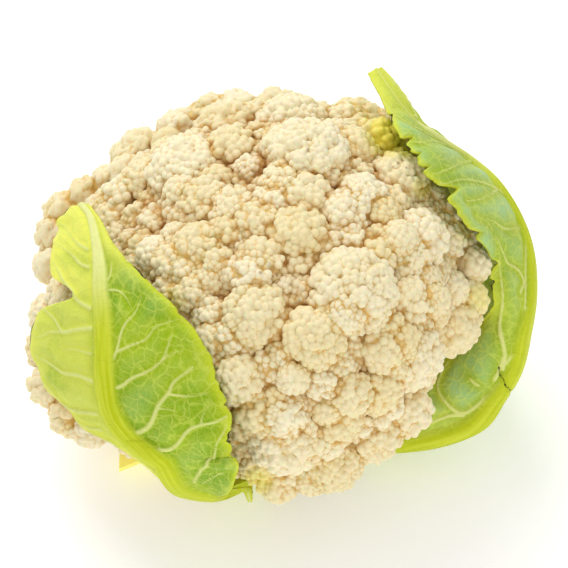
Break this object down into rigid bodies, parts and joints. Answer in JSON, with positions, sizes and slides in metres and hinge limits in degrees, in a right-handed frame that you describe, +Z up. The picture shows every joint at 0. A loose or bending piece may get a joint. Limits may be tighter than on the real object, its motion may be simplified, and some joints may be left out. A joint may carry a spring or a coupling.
{
  "type": "cauliflower",
  "caption": "Head of cauliflower with a leaning flattened white curd of domed florets, standing on its cut stem, with leaves wrapped round it on both sides and trimmed leaf stubs.",
  "frame": {"origin": "middle of the stem's flat cut face, on the surface that the head stands on", "axes": "+Z up, out of the stem into the curd; -Y to the front, where the left leaf's foot shows; +X to the side where the right leaf cups the head"},
  "size_m": [0.1906, 0.1735, 0.1319],
  "materials": {
    "curd": "creamy white flesh, finely nodular and matt, warmer and more orange in the creases",
    "stem": "pale green-white flesh, satin skin, cut face matt and slightly browned at its rim",
    "leaf": "yellow-green with a thin bluish wax bloom, satin, with raised cream veins and a pale thick rib",
    "leaf_stub": "pale yellow-green rib flesh, satin skin, matt where it was cut"
  },
  "bodies": {
    "root": {"curd": "curd", "stem": "stem", "leaf_left": "leaf", "leaf_right": "leaf", "leaf_stub_left": "leaf_stub", "leaf_stub_back_left": "leaf_stub", "leaf_stub_back": "leaf_stub"}
  },
  "joints": []
}
